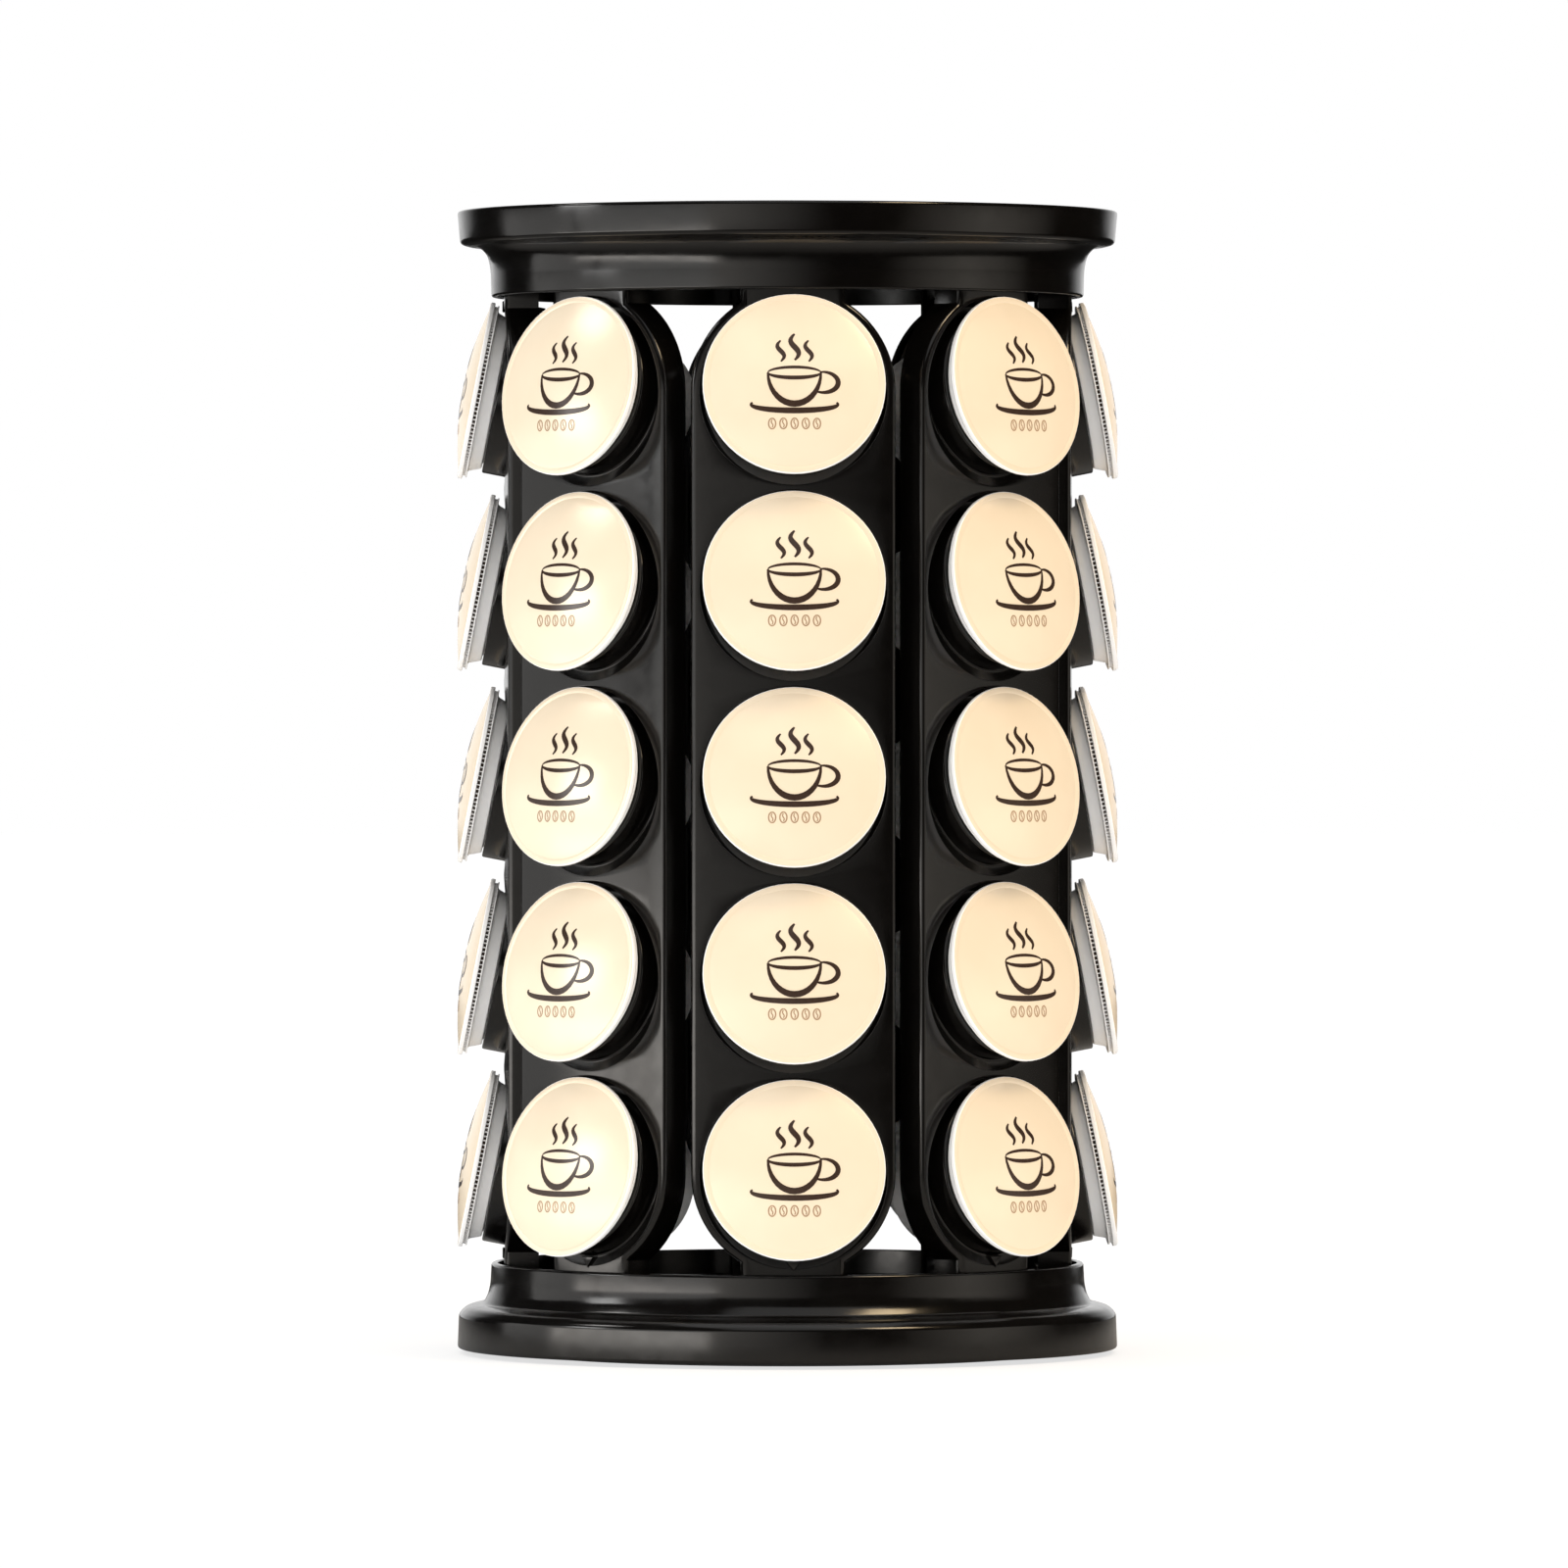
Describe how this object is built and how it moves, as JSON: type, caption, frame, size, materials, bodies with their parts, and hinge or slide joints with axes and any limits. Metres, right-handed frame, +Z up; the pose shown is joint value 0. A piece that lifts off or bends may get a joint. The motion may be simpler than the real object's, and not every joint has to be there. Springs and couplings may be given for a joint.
{
  "type": "coffee capsule dispenser",
  "caption": "Free-standing rotating tower of upright panels with tilted pockets that hold sealed coffee capsules, between two round end rings.",
  "frame": {"origin": "on the table, on the tower's turning axis, at the bottom of the rubber foot ring", "axes": "+Z up along the turning axis, -Y towards the viewer of the picture, square to the front panel, +X to the viewer's right"},
  "size_m": [0.1996, 0.1996, 0.3442],
  "materials": {
    "black_shell": "gloss",
    "capsule_cup": "satin",
    "lid_foil": "satin",
    "lid_print": "satin",
    "bearing_steel": "satin",
    "foot_rubber": "matte"
  },
  "bodies": {
    "stand": {"foot_disc": "black_shell", "rubber_foot_ring": "foot_rubber", "lower_race_plate": "bearing_steel", "centre_pivot": "bearing_steel"},
    "rollers": {"ball_ring": "bearing_steel"},
    "tower": {"base_ring": "black_shell", "top_ring": "black_shell", "upper_race_plate": "bearing_steel", "race_screw_1": "bearing_steel", "race_screw_2": "bearing_steel", "race_screw_3": "bearing_steel", "race_screw_4": "bearing_steel", "panel_1": "black_shell", "panel_2": "black_shell", "panel_3": "black_shell", "panel_4": "black_shell", "panel_5": "black_shell", "panel_6": "black_shell", "panel_7": "black_shell", "panel_8": "black_shell"},
    "capsule_1_1": {"capsule_1_1": "capsule_cup"},
    "capsule_1_2": {"capsule_1_2": "capsule_cup"},
    "capsule_1_3": {"capsule_1_3": "capsule_cup"},
    "capsule_1_4": {"capsule_1_4": "capsule_cup"},
    "capsule_1_5": {"capsule_1_5": "capsule_cup"},
    "capsule_2_1": {"capsule_2_1": "capsule_cup"},
    "capsule_2_2": {"capsule_2_2": "capsule_cup"},
    "capsule_2_3": {"capsule_2_3": "capsule_cup"},
    "capsule_2_4": {"capsule_2_4": "capsule_cup"},
    "capsule_2_5": {"capsule_2_5": "capsule_cup"},
    "capsule_3_1": {"capsule_3_1": "capsule_cup"},
    "capsule_3_2": {"capsule_3_2": "capsule_cup"},
    "capsule_3_3": {"capsule_3_3": "capsule_cup"},
    "capsule_3_4": {"capsule_3_4": "capsule_cup"},
    "capsule_3_5": {"capsule_3_5": "capsule_cup"},
    "capsule_4_1": {"capsule_4_1": "capsule_cup"},
    "capsule_4_2": {"capsule_4_2": "capsule_cup"},
    "capsule_4_3": {"capsule_4_3": "capsule_cup"},
    "capsule_4_4": {"capsule_4_4": "capsule_cup"},
    "capsule_4_5": {"capsule_4_5": "capsule_cup"},
    "capsule_5_1": {"capsule_5_1": "capsule_cup"},
    "capsule_5_2": {"capsule_5_2": "capsule_cup"},
    "capsule_5_3": {"capsule_5_3": "capsule_cup"},
    "capsule_5_4": {"capsule_5_4": "capsule_cup"},
    "capsule_5_5": {"capsule_5_5": "capsule_cup"},
    "capsule_6_1": {"capsule_6_1": "capsule_cup"},
    "capsule_6_2": {"capsule_6_2": "capsule_cup"},
    "capsule_6_3": {"capsule_6_3": "capsule_cup"},
    "capsule_6_4": {"capsule_6_4": "capsule_cup"},
    "capsule_6_5": {"capsule_6_5": "capsule_cup"},
    "capsule_7_1": {"capsule_7_1": "capsule_cup"},
    "capsule_7_2": {"capsule_7_2": "capsule_cup"},
    "capsule_7_3": {"capsule_7_3": "capsule_cup"},
    "capsule_7_4": {"capsule_7_4": "capsule_cup"},
    "capsule_7_5": {"capsule_7_5": "capsule_cup"},
    "capsule_8_1": {"capsule_8_1": "capsule_cup"},
    "capsule_8_2": {"capsule_8_2": "capsule_cup"},
    "capsule_8_3": {"capsule_8_3": "capsule_cup"},
    "capsule_8_4": {"capsule_8_4": "capsule_cup"},
    "capsule_8_5": {"capsule_8_5": "capsule_cup"}
  },
  "joints": [
    {"name": "tower_spin", "type": "hinge", "parent": "stand", "child": "tower", "pos_m": [0, 0, 0.0103], "axis": [0, 0, 1], "continuous": true},
    {"name": "ball_ring_spin", "type": "hinge", "parent": "stand", "child": "rollers", "pos_m": [0, 0, 0.0103], "axis": [0, 0, 1], "continuous": true},
    {"name": "capsule_1_1_pull", "type": "slide", "parent": "tower", "child": "capsule_1_1", "axis": [0, -0.9816, 0.1908], "range_m": [0, 0.045]},
    {"name": "capsule_1_2_pull", "type": "slide", "parent": "tower", "child": "capsule_1_2", "axis": [0, -0.9816, 0.1908], "range_m": [0, 0.045]},
    {"name": "capsule_1_3_pull", "type": "slide", "parent": "tower", "child": "capsule_1_3", "axis": [0, -0.9816, 0.1908], "range_m": [0, 0.045]},
    {"name": "capsule_1_4_pull", "type": "slide", "parent": "tower", "child": "capsule_1_4", "axis": [0, -0.9816, 0.1908], "range_m": [0, 0.045]},
    {"name": "capsule_1_5_pull", "type": "slide", "parent": "tower", "child": "capsule_1_5", "axis": [0, -0.9816, 0.1908], "range_m": [0, 0.045]},
    {"name": "capsule_2_1_pull", "type": "slide", "parent": "tower", "child": "capsule_2_1", "axis": [0.6941, -0.6941, 0.1908], "range_m": [0, 0.045]},
    {"name": "capsule_2_2_pull", "type": "slide", "parent": "tower", "child": "capsule_2_2", "axis": [0.6941, -0.6941, 0.1908], "range_m": [0, 0.045]},
    {"name": "capsule_2_3_pull", "type": "slide", "parent": "tower", "child": "capsule_2_3", "axis": [0.6941, -0.6941, 0.1908], "range_m": [0, 0.045]},
    {"name": "capsule_2_4_pull", "type": "slide", "parent": "tower", "child": "capsule_2_4", "axis": [0.6941, -0.6941, 0.1908], "range_m": [0, 0.045]},
    {"name": "capsule_2_5_pull", "type": "slide", "parent": "tower", "child": "capsule_2_5", "axis": [0.6941, -0.6941, 0.1908], "range_m": [0, 0.045]},
    {"name": "capsule_3_1_pull", "type": "slide", "parent": "tower", "child": "capsule_3_1", "axis": [0.9816, 0, 0.1908], "range_m": [0, 0.045]},
    {"name": "capsule_3_2_pull", "type": "slide", "parent": "tower", "child": "capsule_3_2", "axis": [0.9816, 0, 0.1908], "range_m": [0, 0.045]},
    {"name": "capsule_3_3_pull", "type": "slide", "parent": "tower", "child": "capsule_3_3", "axis": [0.9816, 0, 0.1908], "range_m": [0, 0.045]},
    {"name": "capsule_3_4_pull", "type": "slide", "parent": "tower", "child": "capsule_3_4", "axis": [0.9816, 0, 0.1908], "range_m": [0, 0.045]},
    {"name": "capsule_3_5_pull", "type": "slide", "parent": "tower", "child": "capsule_3_5", "axis": [0.9816, 0, 0.1908], "range_m": [0, 0.045]},
    {"name": "capsule_4_1_pull", "type": "slide", "parent": "tower", "child": "capsule_4_1", "axis": [0.6941, 0.6941, 0.1908], "range_m": [0, 0.045]},
    {"name": "capsule_4_2_pull", "type": "slide", "parent": "tower", "child": "capsule_4_2", "axis": [0.6941, 0.6941, 0.1908], "range_m": [0, 0.045]},
    {"name": "capsule_4_3_pull", "type": "slide", "parent": "tower", "child": "capsule_4_3", "axis": [0.6941, 0.6941, 0.1908], "range_m": [0, 0.045]},
    {"name": "capsule_4_4_pull", "type": "slide", "parent": "tower", "child": "capsule_4_4", "axis": [0.6941, 0.6941, 0.1908], "range_m": [0, 0.045]},
    {"name": "capsule_4_5_pull", "type": "slide", "parent": "tower", "child": "capsule_4_5", "axis": [0.6941, 0.6941, 0.1908], "range_m": [0, 0.045]},
    {"name": "capsule_5_1_pull", "type": "slide", "parent": "tower", "child": "capsule_5_1", "axis": [0, 0.9816, 0.1908], "range_m": [0, 0.045]},
    {"name": "capsule_5_2_pull", "type": "slide", "parent": "tower", "child": "capsule_5_2", "axis": [0, 0.9816, 0.1908], "range_m": [0, 0.045]},
    {"name": "capsule_5_3_pull", "type": "slide", "parent": "tower", "child": "capsule_5_3", "axis": [0, 0.9816, 0.1908], "range_m": [0, 0.045]},
    {"name": "capsule_5_4_pull", "type": "slide", "parent": "tower", "child": "capsule_5_4", "axis": [0, 0.9816, 0.1908], "range_m": [0, 0.045]},
    {"name": "capsule_5_5_pull", "type": "slide", "parent": "tower", "child": "capsule_5_5", "axis": [0, 0.9816, 0.1908], "range_m": [0, 0.045]},
    {"name": "capsule_6_1_pull", "type": "slide", "parent": "tower", "child": "capsule_6_1", "axis": [-0.6941, 0.6941, 0.1908], "range_m": [0, 0.045]},
    {"name": "capsule_6_2_pull", "type": "slide", "parent": "tower", "child": "capsule_6_2", "axis": [-0.6941, 0.6941, 0.1908], "range_m": [0, 0.045]},
    {"name": "capsule_6_3_pull", "type": "slide", "parent": "tower", "child": "capsule_6_3", "axis": [-0.6941, 0.6941, 0.1908], "range_m": [0, 0.045]},
    {"name": "capsule_6_4_pull", "type": "slide", "parent": "tower", "child": "capsule_6_4", "axis": [-0.6941, 0.6941, 0.1908], "range_m": [0, 0.045]},
    {"name": "capsule_6_5_pull", "type": "slide", "parent": "tower", "child": "capsule_6_5", "axis": [-0.6941, 0.6941, 0.1908], "range_m": [0, 0.045]},
    {"name": "capsule_7_1_pull", "type": "slide", "parent": "tower", "child": "capsule_7_1", "axis": [-0.9816, 0, 0.1908], "range_m": [0, 0.045]},
    {"name": "capsule_7_2_pull", "type": "slide", "parent": "tower", "child": "capsule_7_2", "axis": [-0.9816, 0, 0.1908], "range_m": [0, 0.045]},
    {"name": "capsule_7_3_pull", "type": "slide", "parent": "tower", "child": "capsule_7_3", "axis": [-0.9816, 0, 0.1908], "range_m": [0, 0.045]},
    {"name": "capsule_7_4_pull", "type": "slide", "parent": "tower", "child": "capsule_7_4", "axis": [-0.9816, 0, 0.1908], "range_m": [0, 0.045]},
    {"name": "capsule_7_5_pull", "type": "slide", "parent": "tower", "child": "capsule_7_5", "axis": [-0.9816, 0, 0.1908], "range_m": [0, 0.045]},
    {"name": "capsule_8_1_pull", "type": "slide", "parent": "tower", "child": "capsule_8_1", "axis": [-0.6941, -0.6941, 0.1908], "range_m": [0, 0.045]},
    {"name": "capsule_8_2_pull", "type": "slide", "parent": "tower", "child": "capsule_8_2", "axis": [-0.6941, -0.6941, 0.1908], "range_m": [0, 0.045]},
    {"name": "capsule_8_3_pull", "type": "slide", "parent": "tower", "child": "capsule_8_3", "axis": [-0.6941, -0.6941, 0.1908], "range_m": [0, 0.045]},
    {"name": "capsule_8_4_pull", "type": "slide", "parent": "tower", "child": "capsule_8_4", "axis": [-0.6941, -0.6941, 0.1908], "range_m": [0, 0.045]},
    {"name": "capsule_8_5_pull", "type": "slide", "parent": "tower", "child": "capsule_8_5", "axis": [-0.6941, -0.6941, 0.1908], "range_m": [0, 0.045]}
  ],
  "couplings": [
    {"joint": "ball_ring_spin", "follows": "tower_spin", "ratio": 0.5}
  ]
}
